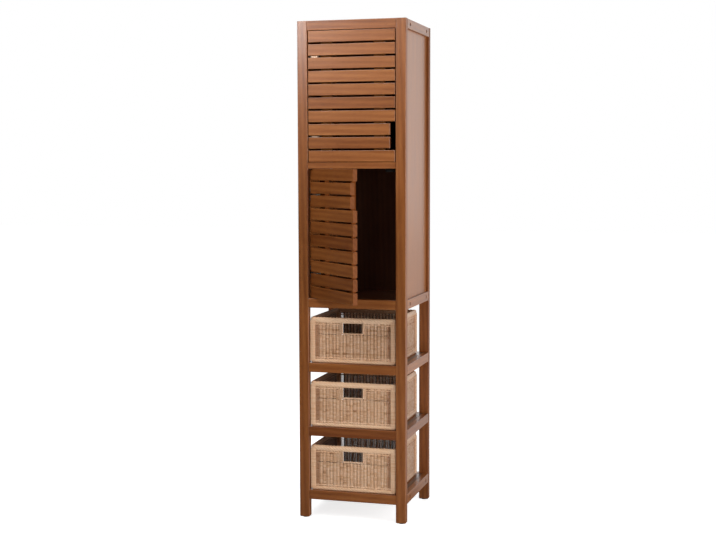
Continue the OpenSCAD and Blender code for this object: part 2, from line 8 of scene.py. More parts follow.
import bpy
from bpy.props import FloatProperty, FloatVectorProperty, IntProperty, PointerProperty
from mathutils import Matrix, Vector


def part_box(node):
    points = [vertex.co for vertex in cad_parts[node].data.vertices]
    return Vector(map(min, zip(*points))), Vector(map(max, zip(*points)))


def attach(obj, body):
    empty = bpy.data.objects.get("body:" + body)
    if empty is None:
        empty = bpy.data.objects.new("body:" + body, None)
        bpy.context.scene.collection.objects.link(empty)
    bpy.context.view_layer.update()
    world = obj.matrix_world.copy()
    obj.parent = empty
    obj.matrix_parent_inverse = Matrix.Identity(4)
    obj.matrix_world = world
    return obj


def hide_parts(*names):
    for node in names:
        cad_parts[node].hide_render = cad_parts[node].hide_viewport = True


bl_info = {
    "name": "Storage Tower Finishes",
    "version": (1, 0, 0),
    "blender": (4, 5, 0),
    "location": "3D View > Sidebar > Tower",
    "description": "Weaves the baskets and stains the wood of a bathroom storage tower",
    "category": "Object",
}

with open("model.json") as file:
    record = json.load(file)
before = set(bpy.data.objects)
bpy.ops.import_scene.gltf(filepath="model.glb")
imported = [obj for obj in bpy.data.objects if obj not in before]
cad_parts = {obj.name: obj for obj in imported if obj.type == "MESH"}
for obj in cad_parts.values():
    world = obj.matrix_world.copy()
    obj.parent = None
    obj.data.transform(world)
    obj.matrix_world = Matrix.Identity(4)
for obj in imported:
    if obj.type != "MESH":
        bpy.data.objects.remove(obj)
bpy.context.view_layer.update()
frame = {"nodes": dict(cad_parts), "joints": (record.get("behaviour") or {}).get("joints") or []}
NODES = frame["nodes"]
JOINTS = {joint["name"]: joint for joint in frame["joints"]}
BASKETS = ("basket_upper", "basket_middle", "basket_lower")
# From one shelf to the next, and so from one basket to the next.
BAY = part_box(BASKETS[0])[0].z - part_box(BASKETS[1])[0].z

MM = 0.001
QUARTER = math.pi / 2
WHITE, GREY, BLACK = (1, 1, 1, 1), (0.8, 0.8, 0.8, 1), (0, 0, 0, 1)


# --- Sizes and colours that a user may change ----------------------------------------------------------


def length(name, description, default, low=0.0, high=1.0):
    """A size in metres."""
    return FloatProperty(
        name=name, description=description, default=default, min=low, max=high,
        unit="LENGTH", precision=4,
    )


def colour(name, description, default):
    """A colour in linear light."""
    return FloatVectorProperty(
        name=name, description=description, default=default, size=3, min=0, max=1,
        subtype="COLOR",
    )


def share(name, description, default):
    """A number from 0 to 1."""
    return FloatProperty(
        name=name, description=description, default=default, min=0, max=1, subtype="FACTOR",
    )


def strength(name, description, default):
    """The strength of a light that has no lamp, where 1 is white."""
    return FloatProperty(name=name, description=description, default=default, min=0)


def power(name, description, default):
    """The power of a lamp, in watts."""
    return FloatProperty(name=name, description=description, default=default, min=0, unit="POWER")


class TowerWood(bpy.types.PropertyGroup):
    light: colour("Light grain", "Palest colour of the stained wood", (0.40, 0.148, 0.040))
    middle: colour("Wood", "Main colour of the stained wood", (0.275, 0.088, 0.020))
    dark: colour("Dark grain", "Darkest colour of the stained wood", (0.170, 0.046, 0.009))
    # Painted shade: a near-black wood colour for the cabinet's inside, where little light reaches.
    inner: colour("Inner wood", "Colour of the wood inside the cabinet", (0.10, 0.036, 0.014))
    fibre: length("Fibre", "Width of one fibre streak", 1.6 * MM, 0.2 * MM, 10 * MM)
    figure: length("Figure", "Width of one broad band of the grain", 26 * MM, 5 * MM, 0.2)
    roughness: share("Roughness", "Roughness of the satin finish", 0.36)


class TowerMetal(bpy.types.PropertyGroup):
    nickel: colour("Nickel", "Colour of the hinges and bolts", (0.74, 0.72, 0.68))
    steel: colour("Steel", "Colour of the screws", (0.45, 0.46, 0.48))
    # Painted reflection: the upper cups are tinted warm, as the wood round them shows in them, though
    # they are the same nickel as the lower ones.
    cup_reflection: colour("Cups", "Colour of the upper door's hinge cups", (0.70, 0.50, 0.36))
    housing: colour("Housing", "Colour of the catches' housings", (0.010, 0.006, 0.004))
    felt: colour("Felt", "Colour of the glides", (0.045, 0.038, 0.034))
    roughness: share("Roughness", "Roughness of the plated metal", 0.28)


class TowerWeave(bpy.types.PropertyGroup):
    cane: colour("Cane", "Main colour of the cane", (0.77, 0.47, 0.27))
    pale: colour("Pale cane", "Colour of the palest strands", (0.88, 0.63, 0.43))
    brown: colour("Brown cane", "Colour of the darkest strands", (0.40, 0.185, 0.080))
    # Painted shade between the stakes.
    recess_shade: share("Recess", "How much darker the strands are between the stakes", 0.31)
    weaver: length("Weaver", "Thickness of a woven strand", 2.0 * MM, 1 * MM, 5 * MM)
    weaver_h: length("Weaver height", "Height of a woven strand", 3.0 * MM, 1 * MM, 8 * MM)
    row: length("Row", "Height of one woven row", 2.4 * MM, 1 * MM, 8 * MM)
    stake: length("Stake", "Thickness of the upright stakes", 3.2 * MM, 1 * MM, 6 * MM)
    stake_w: length("Stake width", "Width of the upright stakes", 6.0 * MM, 1 * MM, 12 * MM)
    end_stake: length("End stake", "Thickness of the stakes at a panel's ends", 5.0 * MM, 2 * MM, 8 * MM)
    slot: length("Slot", "Open gap beside each corner post", 10 * MM, 0.0, 20 * MM)
    post: length("Corner post", "Thickness of a wound corner post", 20 * MM, 8 * MM, 40 * MM)
    rim_h: length("Rim height", "Height of the rolled rim", 22 * MM, 8 * MM, 40 * MM)
    rim_w: length("Rim width", "Width of the rolled rim", 13 * MM, 6 * MM, 30 * MM)
    foot_h: length("Foot height", "Height of the border round the base", 15 * MM, 6 * MM, 40 * MM)
    foot_w: length("Foot width", "Width of the border round the base", 9 * MM, 4 * MM, 20 * MM)
    grip_w: length("Handle width", "Width of the handle opening", 72 * MM, 30 * MM, 0.15)
    grip_h: length("Handle height", "Height of the handle opening", 35 * MM, 15 * MM, 0.08)
    grip_top: length("Handle depth", "From the basket's top to its handle opening", 20.5 * MM, 0.0, 0.1)
    grip_rim: length("Handle border", "Width of the handle opening's border", 6.5 * MM, 2 * MM, 15 * MM)
    proud: length("Proud", "How far the posts and rim bulge past the sides", 1.8 * MM, 0.0, 2.5 * MM)
    half_waves: IntProperty(
        name="Front stakes", description="Stakes in half of the front", default=10, min=4, max=30,
    )


class TowerStage(bpy.types.PropertyGroup):
    lens: FloatProperty(
        name="Lens", description="Focal length of the camera", default=65.036, min=10, max=300,
        unit="CAMERA",
    )
    high: power("High lamp", "Power of the soft lamp in front of the doors", 21)
    gloss: power("Gloss lamp", "Power of the small lamp that the upper door mirrors", 9)
    key: power("Key lamp", "Power of the soft lamp on the right in front", 16)
    low: power("Low lamp", "Power of the soft lamp in front of the lowest basket", 1.3)
    back: power("Back lamp", "Power of the soft lamp behind the object", 24)
    side: power("Side lamp", "Power of the soft lamp on the right", 46)
    ambient: strength("Ambient", "Strength of the light from all round", 0.03)
    mirrored: strength("Mirrored", "Strength of the white that gloss mirrors", 1.3)


# --- Shader maths --------------------------------------------------------------------------------------


class Value:
    """An output socket. Used in an expression, it adds a Math node for each operation."""

    def __init__(self, graph, socket):
        self.graph, self.socket = graph, socket

    def math(self, operation, *values):
        return self.graph.add("ShaderNodeMath", {"operation": operation}, dict(enumerate(values)))

    def __add__(self, other):
        return self.math("ADD", self, other)

    def __radd__(self, other):
        return self.math("ADD", other, self)

    def __sub__(self, other):
        return self.math("SUBTRACT", self, other)

    def __rsub__(self, other):
        return self.math("SUBTRACT", other, self)

    def __mul__(self, other):
        return self.math("MULTIPLY", self, other)

    def __rmul__(self, other):
        return self.math("MULTIPLY", other, self)

    def __truediv__(self, other):
        return self.math("DIVIDE", self, other)

    def __gt__(self, other):
        return self.math("GREATER_THAN", self, other)

    def __lt__(self, other):
        return self.math("LESS_THAN", self, other)

    def floor(self):
        return self.math("FLOOR", self)

    def absolute(self):
        return self.math("ABSOLUTE", self)

    def cosine(self):
        return self.math("COSINE", self)


class Graph:
    """The node tree of a material or of the world."""

    def __init__(self, owner):
        owner.use_nodes = True
        self.owner, self.tree = owner, owner.node_tree
        self.tree.nodes.clear()

    def add(self, kind, settings=None, inputs=None, output=0):
        """One node: its settings are set first, then its sockets take values or links."""
        node = self.tree.nodes.new(kind)
        for name, value in (settings or {}).items():
            if name == "stops":
                ramp = node.color_ramp
                while len(ramp.elements) < len(value):
                    ramp.elements.new(1.0)
                for element, (place, shade) in zip(ramp.elements, value):
                    element.position, element.color = place, (*shade, 1.0)
            else:
                setattr(node, name, value)
        for key, value in (inputs or {}).items():
            if isinstance(value, Value):
                self.tree.links.new(value.socket, node.inputs[key])
            else:
                node.inputs[key].default_value = value
        return Value(self, node.outputs[output])

    def outputs(self, value, names):
        """Some other outputs of the node that a value comes from."""
        return [Value(self, value.socket.node.outputs[name]) for name in names]

    def split(self, vector):
        """The three parts of a vector."""
        return self.outputs(self.add("ShaderNodeSeparateXYZ", {}, {0: vector}), "XYZ")

    def mix(self, amount, first, second, blend="MIX"):
        """Two colours, mixed."""
        pair = [shade if isinstance(shade, Value) else (*shade, 1.0) for shade in (first, second)]
        return self.add(
            "ShaderNodeMix", {"data_type": "RGBA", "blend_type": blend},
            {0: amount, 6: pair[0], 7: pair[1]}, output=2,
        )

    def vector(self, operation, *vectors, output=0):
        """Vector maths."""
        inputs = dict(enumerate(vectors))
        return self.add("ShaderNodeVectorMath", {"operation": operation}, inputs, output)

    def place(self, turn=0.0, scale=(1, 1, 1)):
        """Object coordinates, turned about Z and scaled."""
        where = self.add("ShaderNodeTexCoord", output="Object")
        turned = self.add("ShaderNodeMapping", {}, {0: where, "Rotation": (0, 0, turn)})
        return self.vector("MULTIPLY", turned, scale)

    def facing(self, turn=0.0):
        """How squarely the surface faces along each axis, from 0 to 1, after a turn about Z."""
        normal = self.add("ShaderNodeTexCoord", output="Normal")
        turned = self.add(
            "ShaderNodeMapping", {"vector_type": "VECTOR"}, {0: normal, "Rotation": (0, 0, turn)},
        )
        return [part.absolute() for part in self.split(turned)]

    def noise(self, where, scale, detail=2.0, roughness=0.5, distortion=0.0):
        """Soft cloudy noise, from 0 to 1."""
        return self.add("ShaderNodeTexNoise", {"noise_dimensions": "3D"}, {
            "Vector": where, "Scale": scale, "Detail": detail, "Roughness": roughness,
            "Distortion": distortion,
        })

    def random(self, seed):
        """A random number from 0 to 1, the same wherever the seed is the same."""
        return self.add("ShaderNodeTexWhiteNoise", {"noise_dimensions": "1D"}, {"W": seed})

    def ramp(self, value, low, high):
        """A smooth rise from 0 at one value to 1 at another."""
        return self.add(
            "ShaderNodeMapRange", {"interpolation_type": "SMOOTHSTEP"},
            {"Value": value, "From Min": low, "From Max": high},
        )

    def rays(self):
        """Masks of the camera's rays, the mirrored ones and those that pass through."""
        path = self.add("ShaderNodeLightPath")
        return self.outputs(path, ("Is Camera Ray", "Is Glossy Ray", "Is Transmission Ray"))

    def bump(self, height, strength, distance):
        """A normal that follows a height."""
        return self.add(
            "ShaderNodeBump", {}, {"Height": height, "Strength": strength, "Distance": distance},
        )

    def output(self, shader, kind="ShaderNodeOutputMaterial"):
        """Ends the tree with a shader."""
        end = self.tree.nodes.new(kind)
        self.tree.links.new(shader.socket, end.inputs["Surface"])

    def finish(self, sockets):
        """Ends a material with a Principled shader that has these sockets, and gives it back."""
        self.output(self.add("ShaderNodeBsdfPrincipled", {}, sockets))
        return self.owner


# --- Materials -----------------------------------------------------------------------------------------


def shaded(colour, factor):
    """A colour, made lighter or darker by a factor."""
    return [factor * part for part in colour]


def wood(name, along, settings, turn=0.0, board=47 * MM, shift=0.0, tone=0.0, spread=0.30, gloss=0.5,
         matt=0.0, dull_sides=0.0, edges=0.0, inner=False):
    """Stained hardwood whose grain runs along one axis. Each board of that pitch has its own tone,
    and the end grain is darker and duller. The upper and lower faces may be darkened with painted shade,
    as falls in the gaps between slats, together with some pooled stain."""
    graph = Graph(bpy.data.materials.new(name))
    where = graph.place(turn)
    axis = "XYZ".index(along)
    crossing = graph.split(where)[0 if along == "Z" else 2]
    number = ((crossing + shift) / board).floor()
    tone_of_board = graph.random(number)
    # Each board is cut from another place in the wood.
    jump = graph.add(
        "ShaderNodeVectorMath", {"operation": "SCALE"}, {0: (0.37, 0.53, 0.71), "Scale": number},
    )
    cut = graph.vector("ADD", where, jump)

    def stretched(crosswise, lengthwise):
        return graph.vector("MULTIPLY", cut, [lengthwise if i == axis else crosswise for i in range(3)])

    across, fine = 1 / settings.figure, 1 / settings.fibre
    broad = graph.noise(stretched(across, across / 9), 1.0, 3.0, 0.55, 0.9)
    rings = graph.add(
        "ShaderNodeTexWave",
        {"wave_type": "BANDS", "bands_direction": "DIAGONAL", "wave_profile": "SIN"},
        {"Vector": stretched(across, across / 36), "Scale": 0.8, "Distortion": 3.0, "Detail": 2.0,
         "Detail Scale": 0.5},
        output="Fac",
    )
    fibre = graph.noise(stretched(fine, fine / 60), 1.0, 2.0, 0.6)
    pore = (graph.noise(stretched(2.6 * fine, fine / 12), 1.0, 1.0) > 0.64) * 0.35
    grain = 0.42 * broad + 0.16 * rings + 0.34 * fibre + spread * (tone_of_board - 0.5) + (tone + 0.04)
    # Painted shade: inside the cabinet the wood takes the near-black inner colour.
    if inner:
        stops = [(0.25, shaded(settings.inner, 0.55)), (0.75, settings.inner)]
    else:
        stops = [(0.25, settings.dark), (0.52, settings.middle), (0.85, settings.light)]
    facing = graph.facing(turn)
    end_grain = graph.ramp(facing[axis], 0.7, 0.95)
    base = graph.add("ShaderNodeValToRGB", {"stops": stops}, {0: grain})
    base = graph.mix(pore, base, settings.dark, "MULTIPLY")
    base = graph.mix(0.6 * end_grain, base, settings.dark)
    # Painted shade with some pooled stain: faces that look up or down, as in the slat gaps, are darker.
    if edges:
        base = graph.mix(edges * graph.ramp(facing[2], 0.3, 0.8), base, shaded(settings.dark, 0.4))
    rough = settings.roughness + 0.10 * fibre + 0.06 * broad + 0.4 * end_grain
    return graph.finish({
        "Base Color": base, "Roughness": rough + dull_sides * facing[0] + (matt - 0.08),
        "Specular IOR Level": gloss,
        "Coat Weight": 0.24 * gloss * (1 - end_grain), "Coat Roughness": 0.22,
        "Normal": graph.bump(0.6 * fibre - 0.5 * pore + 0.25 * rings, 0.28, 0.35 * MM),
    })


def metal(name, base_colour, roughness, brushed="X", metallic=1.0, shade_beyond=None):
    """Plated metal with fine brush lines along one axis, or enamel when it isn't metallic. Beyond some
    distance to each side of an X it may be darkened with painted shade."""
    graph = Graph(bpy.data.materials.new(name))
    lines = [60.0 if axis == brushed else 2200.0 for axis in "XYZ"]
    brush = graph.noise(graph.place(scale=lines), 1.0, 2.0, 0.6)
    cloud = graph.noise(graph.place(), 90.0, 3.0, 0.6)
    base = graph.mix(0.35 * cloud, base_colour, shaded(base_colour, 0.72))
    # Painted shade beyond the middle, so that only a narrow highlight stays.
    if shade_beyond:
        x, reach = shade_beyond
        off = (graph.split(graph.place())[0] - x).absolute()
        base = graph.mix(0.85 * graph.ramp(off, reach, reach + 3 * MM), base, shaded(base_colour, 0.2))
    return graph.finish({
        "Base Color": base, "Metallic": metallic, "Roughness": roughness + 0.16 * brush + 0.08 * cloud,
        "Normal": graph.bump(brush, 0.10, 0.05 * MM),
    })


def felt(name, base_colour):
    """Hard pressed felt with matted fibres."""
    graph = Graph(bpy.data.materials.new(name))
    matted = graph.noise(graph.place(), 900.0, 4.0, 0.7, 1.5)
    return graph.finish({
        "Base Color": graph.mix(matted, shaded(base_colour, 0.6), shaded(base_colour, 1.5)),
        "Roughness": 0.95, "Normal": graph.bump(matted, 0.6, 0.4 * MM),
    })


def cane(name, settings, plan, tone=0.0, woven=False):
    """Natural cane: strands that differ a little in colour, with a faint sheen and dark specks. Painted
    shade darkens what faces sideways and what is inside the basket. Woven strands are paler where they
    ride over the stakes and browner between them and beside the posts, which is painted shade, and their
    colour changes from block to block."""
    graph = Graph(bpy.data.materials.new(name))
    where = graph.place()
    x, y, z = graph.split(where)
    off_x, off_y = (x - plan.middle.x).absolute(), (y - plan.middle.y).absolute()
    patch = graph.noise(where, 16.0, 3.0, 0.6, 0.4)
    streak = graph.noise(graph.place(scale=(60.0, 60.0, 900.0)), 1.0, 2.0, 0.6)
    speck = graph.noise(where, 330.0, 2.0, 0.6)
    strand = (z / settings.row).floor() * 7.31
    if woven:
        side = off_x > plan.wall_x - 6 * MM
        along_front = x / plan.front_pitch
        along = along_front + side * ((y - plan.middle.y) / plan.side_pitch - along_front)
        number = along.floor()
        strand = strand + number * 3.17
    shade = 0.30 * graph.random(strand) + 0.50 * patch + 0.26 * streak + 0.10 * speck + (tone - 0.08)
    if woven:
        band = (z / (3 * settings.row)).floor()
        block = graph.random(number * 5.7 + band * 13.1)
        brown_band = graph.random(band + 3.3) > 0.86
        shade = shade + 0.26 * (block - 0.5) - 0.18 * brown_band
    stops = [(0.18, settings.brown), (0.44, settings.cane), (0.86, settings.pale)]
    base = graph.add("ShaderNodeValToRGB", {"stops": stops}, {0: shade})
    if woven:
        # The bays count 0, -1 and -2 downwards, and the lower baskets get less painted shade between the
        # stakes.
        bay = ((z - plan.bottom + 20 * MM) / BAY).floor()
        every_other = 2 * (number / 2 - (number / 2).floor())
        crest = 0.5 - 0.5 * (2 * math.pi * along).cosine()
        clear = 0.25 + 0.20 * graph.random(number + 37 * bay + 11 * side) + 0.55 * every_other
        free = settings.post + settings.slot + 5 * MM
        # Painted shade in the open slot beside each corner post.
        slot_shade = (1 - side) * (off_x > plan.half_x - free) + side * (off_y > plan.half_y - free)
        # Painted shade between the stakes, lighter on the crests where the strands ride over them.
        recess_shade = (settings.recess_shade + 0.08 * bay) * (1 - crest * clear) * (1 - slot_shade)
        base = graph.mix(recess_shade + 0.55 * slot_shade, base, settings.brown, "MULTIPLY")
        # Painted shade inside the basket, lighter on the crests.
        inside = (off_x < plan.wall_x - 0.5 * MM) * (off_y < plan.wall_y - 0.5 * MM)
        inside_shade = inside * (1 - crest * (1 - 0.6 * side))
        base = graph.mix(inside_shade, base, shaded(settings.brown, 0.4), "MULTIPLY")
    else:
        # Painted shade on what lies inside the walls' middle: the inner half of the rim, foot and posts,
        # and the base.
        rim_inside_shade = (off_x < plan.wall_x) * (off_y < plan.wall_y)
        base = graph.mix(0.7 * rim_inside_shade, base, settings.brown, "MULTIPLY")
    base = graph.mix((speck > 0.66) * 0.22, base, settings.brown)
    # Painted shade: what faces sideways along X is darker and cooler.
    base = graph.mix(graph.ramp(graph.facing()[0], 0.4, 0.9), base, (0.68, 0.70, 0.80), "MULTIPLY")
    return graph.finish({
        "Base Color": base, "Roughness": 0.46 + 0.16 * speck, "Specular IOR Level": 0.4,
        "Normal": graph.bump(0.6 * streak + 0.4 * speck, 0.35, 0.25 * MM),
    })


def paint(names, material):
    """Gives CAD nodes a material."""
    for name in names:
        for slot in NODES[name].material_slots:
            slot.material = material


# --- Modelling by hand ---------------------------------------------------------------------------------


def only(*pieces):
    """Selects these pieces and nothing else, with the first one active."""
    if bpy.context.mode != "OBJECT":
        bpy.ops.object.mode_set(mode="OBJECT")
    bpy.ops.object.select_all(action="DESELECT")
    for piece in pieces:
        piece.select_set(True)
    bpy.context.view_layer.objects.active = pieces[0]
    return pieces[0]


@contextmanager
def editing(piece, select="SELECT"):
    """Edit mode on one piece, with all of it selected, none of it, or what is selected already."""
    only(piece)
    bpy.ops.object.mode_set(mode="EDIT")
    if select:
        bpy.ops.mesh.select_all(action=select)
    yield
    bpy.ops.object.mode_set(mode="OBJECT")


def settle(piece):
    """Puts a piece's place, turn and size into its mesh."""
    only(piece)
    bpy.ops.object.transform_apply(location=True, rotation=True, scale=True)
    return piece


def moved(piece, offset=(0, 0, 0), turn=(0, 0, 0), scale=(1, 1, 1)):
    """Scales, turns and moves a piece, whose object stays at the origin."""
    piece.rotation_euler, piece.scale, piece.location = turn, scale, offset
    return settle(piece)


def copied(piece, offset=(0, 0, 0), turn=(0, 0, 0), scale=(1, 1, 1)):
    """A copy with its own mesh, scaled, turned and moved."""
    only(piece)
    bpy.ops.object.duplicate(linked=False)
    return moved(bpy.context.active_object, offset, turn, scale)


def joined(name, pieces):
    """Joins pieces, turns their faces outwards and smooths their round sides."""
    piece = only(*pieces)
    if len(pieces) > 1:
        bpy.ops.object.join()
    piece.name = piece.data.name = name
    with editing(piece):
        bpy.ops.mesh.normals_make_consistent(inside=False)
    bpy.ops.object.shade_smooth_by_angle(angle=math.radians(60))
    return piece


def modified(piece, kind, **settings):
    """Adds a modifier and applies it."""
    only(piece)
    bpy.ops.object.modifier_add(type=kind)
    modifier = piece.modifiers[-1]
    for name, value in settings.items():
        setattr(modifier, name, value)
    bpy.ops.object.modifier_apply(modifier=modifier.name)
    return piece


def row_of(piece, count, step, merge=False):
    """Repeats a piece at even steps."""
    return modified(
        piece, "ARRAY", count=count, use_relative_offset=False, use_constant_offset=True,
        constant_offset_displace=step, use_merge_vertices=merge, merge_threshold=0.01 * MM,
    )


def ring(sides, radius, place=(0, 0, 0), turn=(0, 0, 0)):
    """An open ring of edges, the profile of a strand."""
    bpy.ops.object.select_all(action="DESELECT")
    bpy.ops.mesh.primitive_circle_add(vertices=sides, radius=radius, location=place, rotation=turn)
    return settle(bpy.context.active_object)


def rod(sides, radius, low, high, bevel):
    """An upright rod on the Z axis, with softened ends."""
    bpy.ops.object.select_all(action="DESELECT")
    middle = (0, 0, (low + high) / 2)
    bpy.ops.mesh.primitive_cylinder_add(vertices=sides, radius=radius, depth=high - low, location=middle)
    piece = settle(bpy.context.active_object)
    return modified(piece, "BEVEL", width=bevel, segments=1, limit_method="ANGLE")


def closed(piece):
    """Fills the open ends of a strand."""
    with editing(piece, "DESELECT"):
        bpy.ops.mesh.select_mode(type="EDGE")
        bpy.ops.mesh.select_non_manifold(extend=False)
        bpy.ops.mesh.fill_holes(sides=0)
    return piece


def waved(profile, count, pitch, lift, axis):
    """A profile drawn along X from the origin, which passes one stake on the upper side of an axis and
    the next on the lower side, this many times."""
    steps, side = 6, 0.0
    with editing(profile):
        for step in range(1, steps + 1):
            target = lift * math.sin(2 * math.pi * step / steps)
            offset = [2 * pitch / steps, 0, 0]
            offset[axis] = target - side
            bpy.ops.mesh.extrude_region_move(TRANSFORM_OT_translate={"value": offset})
            side = target
    return closed(row_of(profile, count, (2 * pitch, 0, 0), merge=True))


def rows(strand, count, step, flip):
    """Rows of a strand and of its mirror image by turns, one step apart."""
    other = copied(strand, step, scale=flip)
    twice = [2 * part for part in step]
    return [row_of(strand, (count + 1) // 2, twice), row_of(other, count // 2, twice)]


def stake(diameter, x, low, high, wide=None):
    """One upright stake, round unless a width is given."""
    upright = rod(8, diameter / 2, low, high, diameter / 6)
    return moved(upright, (x, 0, 0), scale=((wide or diameter) / diameter, 1, 1))


def weave(settings, pitch, first, last, low, high):
    """A woven panel in the plane Y = 0, between two crossings counted in stakes from the middle."""
    profile = ring(5, settings.weaver_h / 2, turn=(0, QUARTER, 0))
    profile = moved(profile, scale=(1, settings.weaver / settings.weaver_h, 1))
    lift = (settings.stake + settings.weaver) / 2 / math.sin(math.pi / 3)
    strand = waved(profile, (last - first) // 2, pitch, lift, 1)
    if first % 2:
        strand = moved(strand, scale=(1, -1, 1))
    strand = moved(strand, (first * pitch, 0, low + settings.row / 2))
    parts = rows(strand, int((high - low) / settings.row), (0, 0, settings.row), (1, -1, 1))
    ends = (low - 4 * MM, high + 4 * MM)
    upright = stake(settings.stake, (first + 0.5) * pitch, *ends, settings.stake_w)
    parts.append(row_of(upright, last - first, (pitch, 0, 0)))
    parts += [stake(settings.end_stake, side * pitch, *ends) for side in (first, last)]
    return parts


def ties(settings, pitch, end, low, high):
    """Strands that cross the open gap from a panel's end stake to the post, two for three rows."""
    reach = (settings.slot + settings.end_stake + 2 * MM) / 2
    step = 1.5 * settings.row
    strand = ring(5, 0.7 * settings.weaver, turn=(0, QUARTER, 0))
    with editing(strand):
        for lean in (-0.6 * settings.weaver, 0.6 * settings.weaver):
            bpy.ops.mesh.extrude_region_move(TRANSFORM_OT_translate={"value": (reach, lean, 0)})
    strand = moved(closed(strand), scale=(math.copysign(1, end), 1, 1))
    strand = moved(strand, (end * pitch, 0, low + step))
    return row_of(strand, int((high - low) / step), (0, 0, step))


def path_round(half_x, half_y, radius):
    """A closed rounded path in the plane Z = 0, and its length."""
    bpy.ops.object.select_all(action="DESELECT")
    bpy.ops.mesh.primitive_plane_add(size=2)
    path = moved(bpy.context.active_object, scale=(half_x, half_y, 1))
    with editing(path):
        bpy.ops.mesh.select_mode(type="VERT")
        bpy.ops.mesh.bevel(
            offset=radius, offset_type="OFFSET", segments=6, affect="VERTICES", profile=0.5,
        )
        bpy.ops.mesh.select_all(action="SELECT")
        bpy.ops.mesh.delete(type="ONLY_FACE")
    points = path.data.vertices
    total = sum((points[a].co - points[b].co).length for a, b in (e.vertices for e in path.data.edges))
    only(path)
    bpy.ops.object.convert(target="CURVE")
    return path, total


def rope(half_x, half_y, radius, high, wide, strands, pitch, steps=10, sides=6):
    """Strands twisted together round a closed path, as a rolled border is. They touch each other."""
    path, total = path_round(half_x, half_y, radius)
    turns = max(1, round(total / pitch))
    thick = 1.08 * math.pi * high / (strands + math.pi)
    off = (high - thick) / 2
    parts = []
    for number in range(strands):
        angle = 2 * math.pi * number / strands
        start = (0, off * math.sin(angle), off * math.cos(angle))
        parts.append(modified(
            ring(sides, thick / 2, start, (0, QUARTER, 0)), "SCREW", axis="X", angle=2 * math.pi,
            screw_offset=total / turns, iterations=turns, steps=steps, render_steps=steps,
            use_merge_vertices=True, merge_threshold=0.01 * MM,
        ))
    only(*parts)
    bpy.ops.object.join()
    bundle = moved(bpy.context.active_object, scale=(1, wide / high, 1))
    # The two ends meet once the bundle follows the path, and are merged there.
    seam = bundle.vertex_groups.new(name="seam")
    ends = [v.index for v in bundle.data.vertices if min(v.co.x, total - v.co.x) < 0.02 * MM]
    seam.add(ends, 1.0, "REPLACE")
    modified(bundle, "CURVE", object=path, deform_axis="POS_X")
    bpy.data.objects.remove(path)
    with editing(bundle, "DESELECT"):
        bpy.ops.object.vertex_group_select()
        bpy.ops.mesh.remove_doubles(threshold=0.6 * MM)
    bundle.vertex_groups.clear()
    return bundle


def parted(piece, half):
    """Opens a closed border at the middle of the front, and fills its ends."""
    for vertex in piece.data.vertices:
        vertex.select = abs(vertex.co.x) < half and vertex.co.y < 0
    with editing(piece, None):
        bpy.ops.mesh.select_mode(type="VERT")
        bpy.ops.mesh.delete(type="VERT")
    return closed(piece)


def squared(piece, x=0.0, y=0.0, power=10):
    """Turns what is round about the upright through each corner of a rectangle nearly square."""
    for vertex in piece.data.vertices:
        out_x, out_y = abs(vertex.co.x) - x, abs(vertex.co.y) - y
        if min(out_x, out_y) > 0:
            reach = math.hypot(out_x, out_y)
            grow = ((out_x / reach) ** power + (out_y / reach) ** power) ** (-1 / power)
            vertex.co.x = math.copysign(x + out_x * grow, vertex.co.x)
            vertex.co.y = math.copysign(y + out_y * grow, vertex.co.y)
    return piece


def coil(settings, diameter, x, y, low, high):
    """An upright post, wound with cane from end to end."""
    thick = 1.25 * settings.weaver
    wound = modified(
        ring(5, thick / 2, (diameter / 2 - thick / 2, 0, low), (QUARTER, 0, 0)), "SCREW", axis="Z",
        angle=2 * math.pi, screw_offset=thick, iterations=int((high - low) / thick),
        steps=16, render_steps=16,
    )
    wound = squared(closed(wound))
    core = squared(rod(16, diameter / 2 - 0.7 * thick, low, high, thick / 3))
    return [moved(part, (x, y, 0)) for part in (wound, core)]


# --- Baskets -------------------------------------------------------------------------------------------


class BasketPlan:
    """The sizes of a basket about its own middle, from its CAD node and the settings."""

    def __init__(self, settings):
        low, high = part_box(BASKETS[0])
        self.bottom = low.z
        self.middle = (low + high) / 2
        self.half_x, self.half_y = (high.x - low.x) / 2 + settings.proud, (high.y - low.y) / 2
        self.top = high.z - low.z
        self.rim_z = self.top - settings.rim_h
        # The middles of the corner posts and of the walls.
        self.post_x, self.post_y = self.half_x - settings.post / 2, self.half_y - settings.post / 2
        self.wall_x, self.wall_y = self.half_x - settings.rim_w / 2, self.half_y - settings.rim_w / 2
        # From one stake to the next.
        free = settings.slot + settings.end_stake / 2 + settings.post
        self.front_pitch = (self.half_x - free) / settings.half_waves
        self.side_waves = settings.half_waves + 1
        self.side_pitch = (self.half_y - free) / self.side_waves
        self.grip_low = self.top - settings.grip_top - settings.grip_h - settings.grip_rim


def wall_parts(settings, plan, pitch, waves, opening=False):
    """One wall in the plane Y = 0, with or without a handle opening."""
    low, high = settings.foot_h - 3 * MM, plan.rim_z + 4 * MM
    if opening:
        edge = math.ceil((settings.grip_w / 2 + settings.grip_rim + settings.end_stake / 2) / pitch)
        parts = weave(settings, pitch, -waves, waves, low, plan.grip_low)
        parts += weave(settings, pitch, -waves, -edge, plan.grip_low, high)
        parts += weave(settings, pitch, edge, waves, plan.grip_low, high)
    else:
        parts = weave(settings, pitch, -waves, waves, low, high)
    return parts + [ties(settings, pitch, side * waves, low, high) for side in (-1, 1)]


def basket_walls(settings, plan):
    """The four woven walls of a basket, of which the front has the handle opening."""
    front = joined("front", wall_parts(settings, plan, plan.front_pitch, settings.half_waves, True))
    rear = joined("rear", wall_parts(settings, plan, plan.front_pitch, settings.half_waves))
    side = joined("side", wall_parts(settings, plan, plan.side_pitch, plan.side_waves))
    walls = [
        moved(front, (0, -plan.wall_y, 0)),
        moved(rear, (0, plan.wall_y, 0), turn=(0, 0, math.pi)),
        copied(side, (-plan.wall_x, 0, 0), turn=(0, 0, -QUARTER)),
        moved(side, (plan.wall_x, 0, 0), turn=(0, 0, QUARTER)),
    ]
    return joined("basket_walls", walls)


